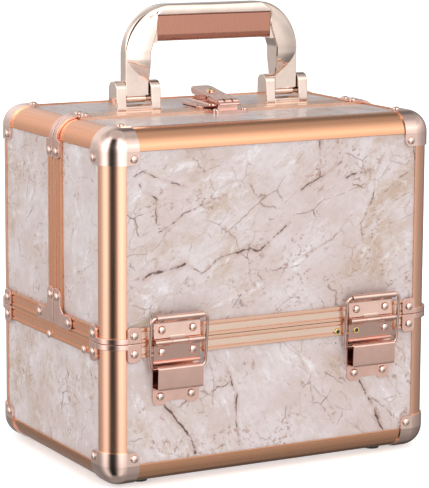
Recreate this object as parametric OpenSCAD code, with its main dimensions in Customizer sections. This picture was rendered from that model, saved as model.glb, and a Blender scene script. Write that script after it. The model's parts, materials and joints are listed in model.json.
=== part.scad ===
// Makeup train case: a base tub, two lid halves that hinge outwards on wire
// stays, a folding carry handle, a keyed draw latch and two cantilever trays.
// Origin at the bottom centre of the feet, +Z up, front at -Y, right at +X.

/* [Case body] */
// Width across the two side faces
body_w = 300; // [280:5:330]
// Depth from the front face to the back face
body_d = 210; // [206:2:230]
// Height of the closed body, without feet and handle
body_h = 283; // [280:1:300]
// Height of the base tub, from its bottom edge to the seam
base_h = 115; // [112:1:118]
// How far in front of the middle the two lid halves meet
split_shift = 10; // [6:1:12]
// Height of the rubber feet
foot_h = 3; // [2:0.5:5]

/* [Frame and boards] */
// Leg of the quarter-round edge extrusions
leg = 17; // [16:0.5:18]
// How far the boards sit behind the face of the extrusions
recess = 1.2; // [0.8:0.1:1.6]
// Thickness of the covered boards
board_t = 4; // [3:0.5:5]
// Thickness of the lining sheets
lining_t = 1.5; // [1:0.1:2]
// Height of the ribbed seam rails
rail_h = 12; // [11:0.5:13]
// How far the seam rails stand proud of the case faces
rail_proud = 1; // [0.8:0.1:1.2]
// Thickness of stamped brackets and hinge leaves
sheet_t = 1.2; // [1:0.1:1.4]

/* [Lid hinges and wire stays] */
// Distance of each hinge from the middle of the case
hinge_x = 90; // [80:1:95]
// Width of a hinge leaf
leaf_w = 41.5; // [38:0.5:44]
// Width of a wire stay between the centres of its sides
stay_w = 50; // [48:0.5:54]
// Radius of the stay wire
stay_r = 1.4; // [1.2:0.1:1.4]

/* [Handle] */
// Width over the two handle legs
handle_w = 162; // [150:1:170]
// Width of one handle leg
handle_leg_w = 21.5; // [20:0.5:23]
// Thickness of the handle from front to back
handle_t = 14; // [12:0.5:14]
// Height of the handle above the case
handle_h = 87.4; // [84:0.1:92]
// Height of the grip insert
grip_h = 20.5; // [18:0.5:22]
// Pivot height above the case
handle_pivot_h = 10.5; // [10:0.1:11]

/* [Trays] */
// Depth of a tray
tray_d = 109; // [100:1:110]
// Height of a tray
tray_h = 42; // [36:1:42]
// Wall thickness of a tray
tray_t = 2; // [1.5:0.1:2.5]

/* [Hidden] */
$fn = 48;

// half gap on each side of every seam
gap = 0.15;
// inner edges of the extrusions
ix = body_w / 2 - leg;
iy = body_d / 2 - leg;
z_seam = foot_h + base_h;
z_top = foot_h + body_h;
z_low = foot_h + leg;
z_high = z_top - leg;
// where a lid half starts, measured towards its own outer face
s_front = split_shift + gap;
s_rear = gap - split_shift;
// depth of the seam rails, and the wall of the edge extrusions
rail_t = 8;
post_t = recess + board_t;
// corner caps: sheet over the extrusions, arms and ears beyond the leg
cap_arm = 10.5;
ear_in = 5.5;
// seam bracket band and pad
band_h = 5;
pad_w = 10.5;
// rivet heads
rivet_r = 3.1;
rivet_rise = 1.6;
rivet_ball = (rivet_r * rivet_r + rivet_rise * rivet_rise) / (2 * rivet_rise);
// faces that brackets and hinges lie on
y_rail = body_d / 2 + rail_proud;
x_rail = body_w / 2 + rail_proud;
// hinge pin axis and knuckles
y_pin = y_rail + 5;
pin_r = 1.5;
knuckle_r = 3.6;
knuckle_mid = 6.95;
fit = 0.06;
// wire stay: top bar above the seam, lower bar below it
stay_top = 19.5;
stay_y = y_pin + 0.5;
stay_drop = 42;
stay_lean = 4.2;
stay_len = sqrt(stay_drop * stay_drop + stay_lean * stay_lean);
stay_tilt = atan2(stay_lean, stay_drop);
bend_r = 4;
// tray linkage: bar pivots on the base, pins along the bars
bar_lean = 35;
bar_y = [-65, 0];
z_bar = z_seam - 10;
r_lower = 50;
r_upper = 130;
r_link = 70;
x_tray = ix - 1;
x_bar = x_tray + 2.4;
x_link = x_tray + 6;
strip_t = 2;
link_pin_r = 2;
pin_rise = 6;
// handle
y_handle = 6.5;
z_pivot = z_top + handle_pivot_h;
leg_x = (handle_w - handle_leg_w) / 2;
bracket_w = 40.5;
bracket_d = 17;
ear_w = 9;
handle_pin_r = 2.4;
handle_eye_r = 3.7;
z_legs = z_pivot + 3.5;
z_grip_top = z_top + handle_h - 8.4;
z_grip = z_grip_top - grip_h;
grip_x = 53.5;
corner_r = 38;
// latch: lever pivot and the bar that carries the bail, whose sides pass outside the lever
y_lever = -5.5;
z_lever = z_top + 6;
bail_back = 21;
bail_rise = 0.5;
bail_w = 29;
bail_len = 37.2;
bail_drop = 1.5;
bail_r = 1.2;
// lever plate: width, length, start, height above the pivot, sheet and slope
lever_w = 19;
lever_len = 31.5;
lever_start = -1.5;
lever_rise = 4.2;
lever_t = 1.4;
lever_slope = 9;
// base plate under the lever
latch_w = 29;
latch_t = 1.4;
z_latch = z_top + rail_proud;
// lugs of the base plate, inside the lever's flanges
lug_x = 4.6;
lug_t = 2;
flange_x = 7;
lock_back = 11;
lock_r = 4;
// catch on the front half
catch_w = 18;
y_catch = -34;

// ---------- shared shapes ----------

module both_x() {
    children();
    mirror([1, 0, 0]) children();
}

module front_side() {
    mirror([0, 1, 0]) children();
}

// quarter ring in the +X +Y quadrant, standing on z = 0
module quarter_ring(r_in, r_out, h) {
    rotate_extrude(angle = 90) translate([r_in, 0]) square([r_out - r_in, h]);
}

// quarter ring lying along X, rounded towards +Y +Z
module edge_x(r_in, r_out, len) {
    translate([-len / 2, 0, 0]) rotate([90, 0, 90]) quarter_ring(r_in, r_out, len);
}

// quarter ring lying along Y from y = 0, rounded towards +X +Z
module edge_y(r_in, r_out, len) {
    translate([0, len, 0]) rotate([90, 0, 0]) quarter_ring(r_in, r_out, len);
}

// ribbed rail section: depth along x, height along y
module rail_section() {
    difference() {
        square([rail_t, rail_h - gap]);
        for (rib = [1:3]) {
            translate([rail_t - 0.6, rib * rail_h / 4 - 0.6]) square([1, 0.9]);
        }
    }
}

// ribbed rail along X, outer face towards +Y, bottom at z = 0
module rail_x(len) {
    translate([-len / 2, 0, 0]) rotate([90, 0, 90]) linear_extrude(len) rail_section();
}

// ribbed rail along Y from y = 0, outer face towards +X, bottom at z = 0
module rail_y(len) {
    translate([0, len, 0]) rotate([90, 0, 0]) linear_extrude(len) rail_section();
}

// ribbed rail upright along Z, outer face towards +X, edge at y = 0
module rail_z(len) {
    linear_extrude(len) rail_section();
}

module rivet() {
    intersection() {
        translate([0, 0, rivet_rise - rivet_ball]) sphere(rivet_ball);
        translate([-5, -5, 0]) cube([10, 10, 5]);
    }
}

// rivets on a face that looks along +Y, +X or +Z
module rivet_y(x, y, z) {
    translate([x, y, z]) rotate([-90, 0, 0]) rivet();
}

module rivet_x(x, y, z) {
    translate([x, y, z]) rotate([0, 90, 0]) rivet();
}

module rivet_z(x, y, z) {
    translate([x, y, z]) rivet();
}

// three-way corner cap round the point where the extrusions' centres meet
module corner_cap() {
    r_cap = leg + sheet_t;
    rotate_extrude(angle = 90) intersection() {
        difference() {
            circle(r_cap);
            circle(leg - post_t);
        }
        square(r_cap + 1);
    }
    translate([0, 0, -cap_arm]) quarter_ring(leg, r_cap, cap_arm);
    translate([-cap_arm / 2, 0, 0]) edge_x(leg, r_cap, cap_arm);
    translate([0, -cap_arm, 0]) edge_y(leg, r_cap, cap_arm);
    cap_ear();
    rotate([90, 0, 90]) cap_ear();
    rotate([-90, -90, 0]) cap_ear();
}

// ear of a corner cap: sheet between two arms and a foot that reaches the board
module cap_ear() {
    foot = cap_arm - 0.6;
    translate([-cap_arm, -cap_arm, leg]) cube([cap_arm, cap_arm, sheet_t]);
    translate([-cap_arm, -cap_arm, leg - recess]) cube([foot, foot, recess]);
}

// band round a corner post with a pad on each face, bottom at z = 0
module seam_bracket(h) {
    r_pad = leg + rail_proud;
    quarter_ring(leg, r_pad + sheet_t, band_h);
    translate([-pad_w, r_pad, 0]) cube([pad_w, sheet_t, h]);
    translate([r_pad, -pad_w, 0]) cube([sheet_t, pad_w, h]);
}

// closed loop of round wire in the XY plane, top bar along y = 0
module wire_loop(w, len, r, bend) {
    for (side = [-1, 1]) {
        translate([side * w / 2, bend - len, 0]) rotate([-90, 0, 0]) cylinder(r = r, h = len - 2 * bend);
    }
    for (y = [0, -len]) {
        translate([bend - w / 2, y, 0]) rotate([0, 90, 0]) cylinder(r = r, h = w - 2 * bend);
    }
    for (turn = [0:3]) {
        sx = (turn == 0 || turn == 3) ? 1 : -1;
        y = turn < 2 ? -bend : bend - len;
        translate([sx * (w / 2 - bend), y, 0]) rotate([0, 0, 90 * turn])
            rotate_extrude(angle = 90) translate([bend, 0]) circle(r);
    }
}

// flat link strip in the YZ plane: round eyes at the pivot and at len, holes at the list
module strip(len, holes) {
    difference() {
        union() {
            rotate([0, 90, 0]) cylinder(r = 6, h = strip_t);
            translate([0, 0, len]) rotate([0, 90, 0]) cylinder(r = 6, h = strip_t);
            translate([0, -5, 0]) cube([strip_t, 10, len]);
        }
        for (h = holes) {
            translate([-1, 0, h]) rotate([0, 90, 0]) cylinder(r = link_pin_r + fit, h = strip_t + 2);
        }
    }
}

// ---------- base tub ----------

module base_panels() {
    h = z_seam - rail_h - z_low;
    color("gainsboro") {
        for (side = [0, 1]) mirror([0, side, 0])
            translate([-ix, body_d / 2 - post_t, z_low]) cube([2 * ix, board_t, h]);
        both_x() translate([body_w / 2 - post_t, -iy, z_low]) cube([board_t, 2 * iy, h]);
    }
}

module base_bottom_panel() {
    color("gainsboro") translate([-ix, -iy, foot_h + recess]) cube([2 * ix, 2 * iy, board_t]);
}

module base_lining() {
    z = foot_h + post_t;
    y = body_d / 2 - post_t - lining_t;
    x = body_w / 2 - post_t - lining_t;
    h = z_seam - rail_h - z_low;
    color("dimgray") {
        translate([-ix, -iy, z]) cube([2 * ix, 2 * iy, lining_t]);
        for (side = [0, 1]) mirror([0, side, 0]) translate([-ix, y, z_low]) cube([2 * ix, lining_t, h]);
        both_x() translate([x, -iy, z_low]) cube([lining_t, 2 * iy, h]);
    }
}

module base_corner_posts() {
    h = z_seam - gap - z_low;
    color("peru") both_x() for (side = [0, 1]) mirror([0, side, 0])
        translate([ix, iy, z_low]) quarter_ring(leg - post_t, leg, h);
}

module base_bottom_rails() {
    color("peru") {
        for (side = [0, 1]) mirror([0, side, 0])
            translate([0, iy, z_low]) mirror([0, 0, 1]) edge_x(leg - post_t, leg, 2 * ix);
        both_x() translate([ix, -iy, z_low]) mirror([0, 0, 1]) edge_y(leg - post_t, leg, 2 * iy);
    }
}

module base_rim_rails() {
    z = z_seam - rail_h;
    color("peru") difference() {
        union() {
            for (side = [0, 1]) mirror([0, side, 0]) translate([0, y_rail - rail_t, z]) rail_x(2 * ix);
            both_x() translate([x_rail - rail_t, -iy, z]) rail_y(2 * iy);
        }
        both_x() for (y = bar_y) {
            translate([x_rail - rail_t - 1, y, z_bar]) rotate([0, 90, 0])
                cylinder(r = link_pin_r + fit, h = rail_t + 2);
        }
    }
}

module base_corner_caps() {
    color("rosybrown") both_x() for (side = [0, 1]) mirror([0, side, 0])
        translate([ix, iy, z_low]) mirror([0, 0, 1]) corner_cap();
}

module base_seam_brackets() {
    color("rosybrown") both_x() for (side = [0, 1]) mirror([0, side, 0])
        translate([ix, iy, z_seam - gap]) mirror([0, 0, 1]) seam_bracket(rail_h + 3.5);
}

module rubber_feet() {
    color("black") both_x() for (side = [-1, 1])
        translate([110, 80 * side, 0]) cylinder(r1 = 6.5, r2 = 7.5, h = foot_h + recess);
}

module base_rivets() {
    cap = leg + ear_in;
    y_cap = body_d / 2 + sheet_t;
    x_cap = body_w / 2 + sheet_t;
    color("rosybrown") {
        both_x() for (side = [0, 1]) mirror([0, side, 0]) {
            rivet_y(body_w / 2 - cap, y_cap, foot_h + cap);
            rivet_x(x_cap, body_d / 2 - cap, foot_h + cap);
            rivet_y(ix - pad_w / 2, y_rail + sheet_t, z_seam - 8);
            rivet_x(x_rail + sheet_t, iy - pad_w / 2, z_seam - 8);
            rivet_y(hinge_x + 13.8, y_rail + sheet_t, z_seam - 8.5);
            rivet_y(hinge_x + 13.8, body_d / 2 - recess + sheet_t, z_seam - 44.8);
            rivet_y(hinge_x - 13.8, body_d / 2 - recess + sheet_t, z_seam - 44.8);
        }
        both_x() rivet_y(hinge_x - 13.8, y_rail + sheet_t, z_seam - 8.5);
        front_side() rivet_y(-hinge_x + 13.8, y_rail + sheet_t, z_seam - 8.5);
    }
}

// hollow eyelets: one on the rim rail, one through the right front hinge
module brass_eyelets() {
    color("goldenrod") front_side() {
        translate([hinge_x - 31, y_rail, z_seam - 8.5]) eyelet();
        translate([hinge_x - 13.8, y_rail + sheet_t, z_seam - 8.5]) eyelet();
    }
}

module eyelet() {
    rotate([-90, 0, 0]) difference() {
        cylinder(r1 = 3.1, r2 = 2.5, h = 1.2);
        translate([0, 0, 0.3]) cylinder(r = 1.5, h = 2);
    }
}

// ---------- lid hinges, one leaf above the seam and one below ----------

module leaf_barrel(x0, x1) {
    difference() {
        union() {
            translate([x0, y_pin, 0]) rotate([0, 90, 0]) cylinder(r = knuckle_r, h = x1 - x0);
            translate([x0, y_rail, 0]) cube([x1 - x0, y_pin - y_rail, 3]);
        }
        translate([x0 - 1, y_pin, 0]) rotate([0, 90, 0]) cylinder(r = pin_r + fit, h = x1 - x0 + 2);
    }
}

module upper_leaf() {
    half = leaf_w / 2;
    translate([-half, y_rail, gap]) cube([leaf_w, sheet_t, stay_top - gap]);
    leaf_barrel(-knuckle_mid, knuckle_mid);
    difference() {
        union() {
            translate([-half, stay_y, stay_top]) rotate([0, 90, 0]) cylinder(r = 2.8, h = leaf_w);
            translate([-half, y_rail, stay_top - 2.4]) cube([leaf_w, stay_y - y_rail, 2.2]);
        }
        translate([-half - 1, stay_y, stay_top]) rotate([0, 90, 0])
            cylinder(r = stay_r + fit, h = leaf_w + 2);
    }
}

module lower_leaf() {
    half = leaf_w / 2;
    inner = knuckle_mid + 0.2;
    translate([-half, y_rail, -17]) cube([leaf_w, sheet_t, 17 - gap]);
    translate([-half, y_rail, -18]) cube([leaf_w, sheet_t + 1.6, 1]);
    for (side = [0, 1]) mirror([side, 0, 0]) mirror([0, 0, 1]) leaf_barrel(inner, half);
}

module four_hinges() {
    both_x() for (side = [0, 1]) mirror([0, side, 0]) translate([hinge_x, 0, z_seam]) children();
}

module hinge_base_leaves() {
    color("rosybrown") four_hinges() lower_leaf();
}

module hinge_pins() {
    half = leaf_w / 2;
    color("silver") four_hinges() {
        translate([-half, y_pin, 0]) rotate([0, 90, 0]) cylinder(r = pin_r, h = leaf_w);
        for (side = [-1, 1]) {
            translate([side * (half + 0.5) - 0.5, y_pin, 0]) rotate([0, 90, 0]) cylinder(r = 2.5, h = 1);
        }
    }
}

// riveted bridge on the base wall that the stay's lower bar slides behind
module stay_pocket() {
    half = 18;
    y0 = body_d / 2 - recess;
    y1 = stay_y + 1.3;
    difference() {
        translate([-half - 1, y0, -51.5]) cube([2 * half + 2, sheet_t, 14.2]);
        translate([-8.5, y0 - 1, -52]) cube([17, 4, 4]);
    }
    translate([-half, y0, -38.6]) cube([2 * half, y1 + 1 - y0, 1.3]);
    translate([-half, y1, -38.6]) cube([2 * half, 1, 18]);
    translate([-half, stay_y - 1.5, -20.6]) cube([2 * half, y1 + 2.5 - stay_y, 1]);
}

module stay_pockets() {
    color("rosybrown") four_hinges() stay_pocket();
}

module tray_pivot_pins() {
    color("rosybrown") both_x() for (y = bar_y) {
        translate([x_bar - 1, y, z_bar]) rotate([0, 90, 0]) cylinder(r = link_pin_r, h = x_rail - x_bar + 1);
        rivet_x(x_rail, y, z_bar);
    }
}

// ---------- lid halves, drawn with the outer face towards +Y ----------

module half_walls(s) {
    z = z_seam + rail_h;
    h = z_high - z;
    translate([-ix, body_d / 2 - post_t, z]) cube([2 * ix, board_t, h]);
    both_x() translate([body_w / 2 - post_t, s + rail_h, z]) cube([board_t, iy - s - rail_h, h]);
}

module half_top(s) {
    translate([-ix, s + rail_h, z_top - post_t]) cube([2 * ix, iy - s - rail_h, board_t]);
}

module half_lining(s) {
    z = z_seam + rail_h;
    h = z_high - z;
    inset = post_t + lining_t;
    translate([-ix, body_d / 2 - inset, z]) cube([2 * ix, lining_t, h]);
    both_x() translate([body_w / 2 - inset, s + rail_h, z]) cube([lining_t, iy - s - rail_h, h]);
    translate([-ix, s + rail_h, z_top - inset]) cube([2 * ix, iy - s - rail_h, lining_t]);
}

module half_posts() {
    both_x() translate([ix, iy, z_seam + gap]) quarter_ring(leg - post_t, leg, z_high - z_seam - gap);
}

module half_top_rails(s) {
    translate([0, iy, z_high]) edge_x(leg - post_t, leg, 2 * ix);
    both_x() translate([ix, s, z_high]) edge_y(leg - post_t, leg, iy - s);
}

module half_seam_rails(s) {
    z = z_seam + gap;
    translate([0, y_rail - rail_t, z]) rail_x(2 * ix);
    both_x() translate([x_rail - rail_t, s, z]) rail_y(iy - s);
    both_x() translate([x_rail - rail_t, s, z_seam + rail_h]) rail_z(z_high - z_seam - rail_h);
    translate([ix, s, z_top + rail_proud - rail_t]) rotate([0, -90, 0]) linear_extrude(2 * ix) rail_section();
}

module half_caps() {
    both_x() translate([ix, iy, z_high]) corner_cap();
}

module half_seam_brackets() {
    both_x() translate([ix, iy, z_seam + gap]) seam_bracket(rail_h);
}

// L-shaped bracket at the foot of the upright seam
module half_angles(s) {
    outline = [[0.3, 0.3], [30, 0.3], [32, 2.3], [32, 9], [30, 11], [18, 11], [11, 18],
        [11, 28], [9, 30], [2.3, 30], [0.3, 28]];
    both_x() translate([x_rail, s, z_seam]) rotate([90, 0, 90]) linear_extrude(sheet_t) polygon(outline);
}

// strap over the rounded top edge beside the seam
module half_straps(s) {
    r_out = leg + rail_proud;
    both_x() translate([ix, s + 0.3, z_high]) {
        translate([r_out, 0, -14]) cube([sheet_t, 11, 14]);
        edge_y(leg, r_out + sheet_t, 6.5);
        translate([-11, 0, r_out]) cube([11, 11, sheet_t]);
    }
}

module half_rivets(s) {
    cap = leg + ear_in;
    x_cap = body_w / 2 + sheet_t;
    y_cap = body_d / 2 + sheet_t;
    x_plate = x_rail + sheet_t;
    y_plate = y_rail + sheet_t;
    both_x() {
        rivet_y(body_w / 2 - cap, y_cap, z_top - cap);
        rivet_x(x_cap, body_d / 2 - cap, z_top - cap);
        rivet_z(body_w / 2 - cap, body_d / 2 - cap, z_top + sheet_t);
        rivet_y(ix - pad_w / 2, y_plate, z_seam + 6.5);
        rivet_x(x_plate, iy - pad_w / 2, z_seam + 6.5);
        rivet_y(hinge_x + 13.8, y_plate, z_seam + 9);
        rivet_y(hinge_x - 13.8, y_plate, z_seam + 9);
        rivet_x(x_plate, s + 27.5, z_seam + 6);
        rivet_x(x_plate, s + 6, z_seam + 24);
        rivet_x(x_plate, s + 6, z_high - 9);
        rivet_z(ix - 6.5, s + 6, z_top + rail_proud + sheet_t);
    }
}

module half_leaves() {
    both_x() translate([hinge_x, 0, z_seam]) upper_leaf();
}

module front_panels() {
    color("gainsboro") front_side() half_walls(s_front);
}

module front_top_panel() {
    color("gainsboro") front_side() half_top(s_front);
}

module front_lining() {
    color("dimgray") front_side() half_lining(s_front);
}

module front_corner_posts() {
    color("peru") front_side() half_posts();
}

module front_top_rails() {
    color("peru") front_side() half_top_rails(s_front);
}

module front_seam_rails() {
    color("peru") front_side() half_seam_rails(s_front);
}

module front_corner_caps() {
    color("rosybrown") front_side() half_caps();
}

module front_seam_brackets() {
    color("rosybrown") front_side() half_seam_brackets();
}

module front_angle_brackets() {
    color("rosybrown") front_side() half_angles(s_front);
}

module front_top_straps() {
    color("rosybrown") front_side() half_straps(s_front);
}

module front_rivets() {
    color("rosybrown") front_side() half_rivets(s_front);
}

module front_hinge_leaves() {
    color("rosybrown") front_side() half_leaves();
}

module rear_panels() {
    color("gainsboro") half_walls(s_rear);
}

module rear_top_panel() {
    color("gainsboro") half_top(s_rear);
}

module rear_lining() {
    color("dimgray") half_lining(s_rear);
}

module rear_corner_posts() {
    color("peru") half_posts();
}

module rear_top_rails() {
    color("peru") half_top_rails(s_rear);
}

module rear_seam_rails() {
    color("peru") half_seam_rails(s_rear);
}

module rear_corner_caps() {
    color("rosybrown") half_caps();
}

module rear_seam_brackets() {
    color("rosybrown") half_seam_brackets();
}

module rear_angle_brackets() {
    color("rosybrown") half_angles(s_rear);
}

module rear_top_straps() {
    color("rosybrown") half_straps(s_rear);
}

module rear_rivets() {
    color("rosybrown") half_rivets(s_rear);
}

module rear_hinge_leaves() {
    color("rosybrown") half_leaves();
}

// ---------- wire stays ----------

module stay() {
    translate([hinge_x, stay_y, z_seam + stay_top]) rotate([90 - stay_tilt, 0, 0])
        wire_loop(stay_w, stay_len, stay_r, bend_r);
}

module front_stay_left() {
    color("silver") front_side() mirror([1, 0, 0]) stay();
}

module front_stay_right() {
    color("silver") front_side() stay();
}

module rear_stay_left() {
    color("silver") mirror([1, 0, 0]) stay();
}

module rear_stay_right() {
    color("silver") stay();
}

// ---------- carry handle ----------

// one ear of a bracket: block with a half-round top, centred on y_handle
module bracket_ear(x0) {
    h = 17 - rail_proud;
    translate([x0, y_handle - bracket_d / 2, z_top + rail_proud]) cube([ear_w, bracket_d, h]);
    translate([x0, y_handle, z_top + 17]) rotate([90, 0, 90])
        rotate_extrude(angle = 180) square([bracket_d / 2, ear_w]);
}

module handle_brackets() {
    half = bracket_w / 2;
    seat = s_rear + rail_h + 0.3;
    color("mistyrose") both_x() translate([leg_x, 0, 0]) difference() {
        union() {
            translate([-half, y_handle - bracket_d / 2, z_top + rail_proud]) cube([bracket_w, bracket_d, 2]);
            translate([-half, seat, z_top - recess])
                cube([bracket_w, y_handle + bracket_d / 2 - seat, recess + rail_proud]);
            translate([-half, y_handle - 2.4, z_top + rail_proud]) cube([bracket_w, 4.8, 5.4]);
            bracket_ear(-half);
            bracket_ear(half - ear_w);
        }
        translate([-half - 1, y_handle, z_pivot]) rotate([0, 90, 0])
            cylinder(r = handle_pin_r + 0.03, h = bracket_w + 2);
    }
}

module handle_pins() {
    color("silver") both_x() translate([leg_x - bracket_w / 2 + 0.5, y_handle, z_pivot]) rotate([0, 90, 0])
        cylinder(r = handle_pin_r, h = bracket_w - 1);
}

function arc(cx, cy, r, a0, a1, n) =
    [for (i = [0:n]) [cx + r * cos(a0 + (a1 - a0) * i / n), cy + r * sin(a0 + (a1 - a0) * i / n)]];

module handle_frame() {
    out = handle_w / 2;
    inner = out - handle_leg_w;
    top = z_top + handle_h;
    right = concat(arc(out - corner_r, top - corner_r, corner_r, 90, 0, 12),
        [[out, z_legs], [inner, z_legs], [inner, z_grip - 2], [grip_x + 1.5, z_grip - 2],
        [grip_x, z_grip], [grip_x, z_grip_top]]);
    left = [for (i = [len(right) - 1:-1:0]) [-right[i][0], right[i][1]]];
    color("mistyrose") {
        translate([0, y_handle + handle_t / 2, 0]) rotate([90, 0, 0])
            linear_extrude(handle_t) polygon(concat(right, left));
        both_x() translate([leg_x, y_handle, z_pivot]) difference() {
            union() {
                translate([-8.5, 0, 0]) rotate([0, 90, 0]) cylinder(r = handle_eye_r, h = 17);
                translate([-8.5, -3, 0]) cube([17, 6, 3.5]);
            }
            translate([-10, 0, 0]) rotate([0, 90, 0]) cylinder(r = handle_pin_r + fit, h = 20);
        }
    }
}

module handle_grip() {
    color("rosybrown") translate([-grip_x, y_handle - 6.5, z_grip]) cube([2 * grip_x, 13, grip_h]);
}

// ---------- draw latch with key lock ----------

// one lug beside the middle, drilled for the pivot pin
module latch_lug() {
    difference() {
        union() {
            translate([lug_x, y_lever, z_lever]) rotate([0, 90, 0]) cylinder(r = 2.8, h = lug_t);
            translate([lug_x, y_lever - 2.5, z_latch + latch_t]) cube([lug_t, 5, z_lever - z_latch - latch_t]);
        }
        translate([lug_x - 1, y_lever, z_lever]) rotate([0, 90, 0]) cylinder(r = bail_r + 0.03, h = lug_t + 2);
    }
}

module latch_base() {
    seat = s_rear + rail_h + 0.3;
    pin = flange_x + lever_t + 0.3;
    color("rosybrown") {
        translate([-latch_w / 2, s_rear + 0.4, z_latch]) cube([latch_w, 33.4, latch_t]);
        translate([-latch_w / 2, seat, z_top - recess]) cube([latch_w, 23.85 - seat, recess + rail_proud]);
        both_x() latch_lug();
        translate([-pin - 0.7, y_lever, z_lever]) rotate([0, 90, 0]) cylinder(r = bail_r, h = 2 * pin + 1.4);
        both_x() translate([pin, y_lever, z_lever]) rotate([0, 90, 0]) cylinder(r = 2, h = 0.9);
        both_x() translate([11, 20, z_latch + latch_t]) cylinder(r = 2, h = 0.8);
    }
}

// place children on the lever plate: x from the middle, y from its front edge
module on_lever() {
    translate([0, y_lever + lever_start, z_lever + lever_rise]) rotate([lever_slope, 0, 0]) children();
}

// sloped plate with side skirts and a rear lip, and two inner flanges for pivot and bail
module latch_lever() {
    flange = [[-1.5, -2.5], [24, -2.5], [24, 8.4], [-1.5, 4.4]];
    half = lever_w / 2;
    color("rosybrown") difference() {
        union() {
            on_lever() {
                translate([-half, 0, 0]) cube([lever_w, lever_len, lever_t]);
                both_x() translate([half - lever_t, 6, -3.2]) cube([lever_t, lever_len - 6, 3.2]);
                translate([lever_t - half, lever_len - 1.2, -2]) cube([lever_w - 2 * lever_t, 1.2, 2]);
            }
            both_x() translate([flange_x, y_lever, z_lever]) rotate([90, 0, 90])
                linear_extrude(lever_t) polygon(flange);
        }
        for (hole = [[0, 0], [bail_back, bail_rise]]) {
            translate([-12, y_lever + hole[0], z_lever + hole[1]]) rotate([0, 90, 0])
                cylinder(r = bail_r + fit, h = 24);
        }
        on_lever() translate([0, lock_back - lever_start, -1]) cylinder(r = lock_r + fit, h = 4);
    }
}

module latch_bail() {
    color("silver") translate([0, y_lever + bail_back, z_lever + bail_rise])
        rotate([asin(bail_drop / bail_len), 0, 0]) wire_loop(bail_w, bail_len, bail_r, 3);
}

// key cylinder: plug with a key slot and a tongue under the lever
module lock_cylinder() {
    color("goldenrod") on_lever() translate([0, lock_back - lever_start, -3.5]) difference() {
        union() {
            cylinder(r = lock_r, h = 7.4);
            cube([2.5, lock_r + 1.5, 1.6]);
        }
        translate([-0.5, -2.5, 6.2]) cube([1, 5, 2]);
    }
}

module latch_catch() {
    half = catch_w / 2;
    color("rosybrown") {
        translate([-half - 4, y_catch, z_top - recess]) cube([catch_w + 8, 10.5, recess + latch_t]);
        translate([-half, y_catch + 9, z_top + latch_t]) cube([catch_w, 1.5, 6.1]);
        translate([-half, y_catch + 6.5, z_top + 6.3]) cube([catch_w, 2.5, 1.2]);
        both_x() translate([half + 1.8, y_catch + 4, z_top + latch_t]) cylinder(r = 2.2, h = 1);
    }
}

// ---------- cantilever trays ----------

// place children at distance r up the bar that pivots at bar_y[i]
module on_bar(i, r) {
    translate([0, bar_y[i] + r * sin(bar_lean), z_bar + r * cos(bar_lean)]) children();
}

module tray(r) {
    middle = (bar_y[0] + bar_y[1]) / 2 + r * sin(bar_lean);
    z = z_bar + r * cos(bar_lean) - pin_rise;
    color("mistyrose") {
        difference() {
            translate([-x_tray, middle - tray_d / 2, z]) cube([2 * x_tray, tray_d, tray_h]);
            for (side = [-1, 1]) {
                translate([side > 0 ? tray_t / 2 : tray_t - x_tray, middle - tray_d / 2 + tray_t, z + tray_t])
                    cube([x_tray - tray_t * 1.5, tray_d - 2 * tray_t, tray_h]);
            }
        }
        both_x() for (i = [0, 1]) on_bar(i, r) translate([x_tray, 0, 0]) rotate([0, 90, 0])
            cylinder(r = link_pin_r, h = x_bar + strip_t + 0.8 - x_tray);
    }
}

module lower_tray() {
    tray(r_lower);
}

module upper_tray() {
    tray(r_upper);
}

module bars(i) {
    both_x() translate([x_bar, bar_y[i], z_bar]) rotate([-bar_lean, 0, 0]) strip(r_upper, [0, r_lower, r_upper]);
}

module tray_bars_front() {
    color("silver") {
        bars(0);
        both_x() on_bar(0, r_link) translate([x_bar + strip_t, 0, 0]) rotate([0, 90, 0])
            cylinder(r = link_pin_r, h = x_link - x_bar + 0.6);
    }
}

module tray_bars_rear() {
    color("silver") bars(1);
}

// links run level with the line from the lid hinge to the front bar pivot
module tray_links() {
    dy = y_pin + bar_y[0];
    dz = z_bar - z_seam;
    len = sqrt(dy * dy + dz * dz);
    color("silver") both_x() on_bar(0, r_link) translate([x_link, -dy, -dz])
        rotate([atan2(-dy, dz), 0, 0]) strip(len, [0, len]);
}

module tray_link_pivots() {
    x_wall = body_w / 2 - post_t - lining_t;
    y = r_link * sin(bar_lean) - y_pin;
    z = z_seam + r_link * cos(bar_lean);
    color("silver") both_x() translate([x_wall, y, z]) rotate([0, -90, 0]) {
        cylinder(r = 7, h = 1.4);
        cylinder(r = link_pin_r, h = x_wall - x_link + 0.6);
    }
}

base_panels();
base_bottom_panel();
base_lining();
base_corner_posts();
base_bottom_rails();
base_rim_rails();
base_corner_caps();
base_seam_brackets();
rubber_feet();
base_rivets();
brass_eyelets();
hinge_base_leaves();
hinge_pins();
stay_pockets();
tray_pivot_pins();
front_panels();
front_top_panel();
front_lining();
front_corner_posts();
front_top_rails();
front_seam_rails();
front_corner_caps();
front_seam_brackets();
front_angle_brackets();
front_top_straps();
front_rivets();
front_hinge_leaves();
latch_catch();
tray_link_pivots();
rear_panels();
rear_top_panel();
rear_lining();
rear_corner_posts();
rear_top_rails();
rear_seam_rails();
rear_corner_caps();
rear_seam_brackets();
rear_angle_brackets();
rear_top_straps();
rear_rivets();
rear_hinge_leaves();
latch_base();
handle_brackets();
handle_pins();
front_stay_left();
front_stay_right();
rear_stay_left();
rear_stay_right();
handle_frame();
handle_grip();
latch_lever();
latch_bail();
lock_cylinder();
lower_tray();
upper_tray();
tray_bars_front();
tray_bars_rear();
tray_links();
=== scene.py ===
import json
import math

import bmesh
import bpy
from mathutils import Matrix, Vector


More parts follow.
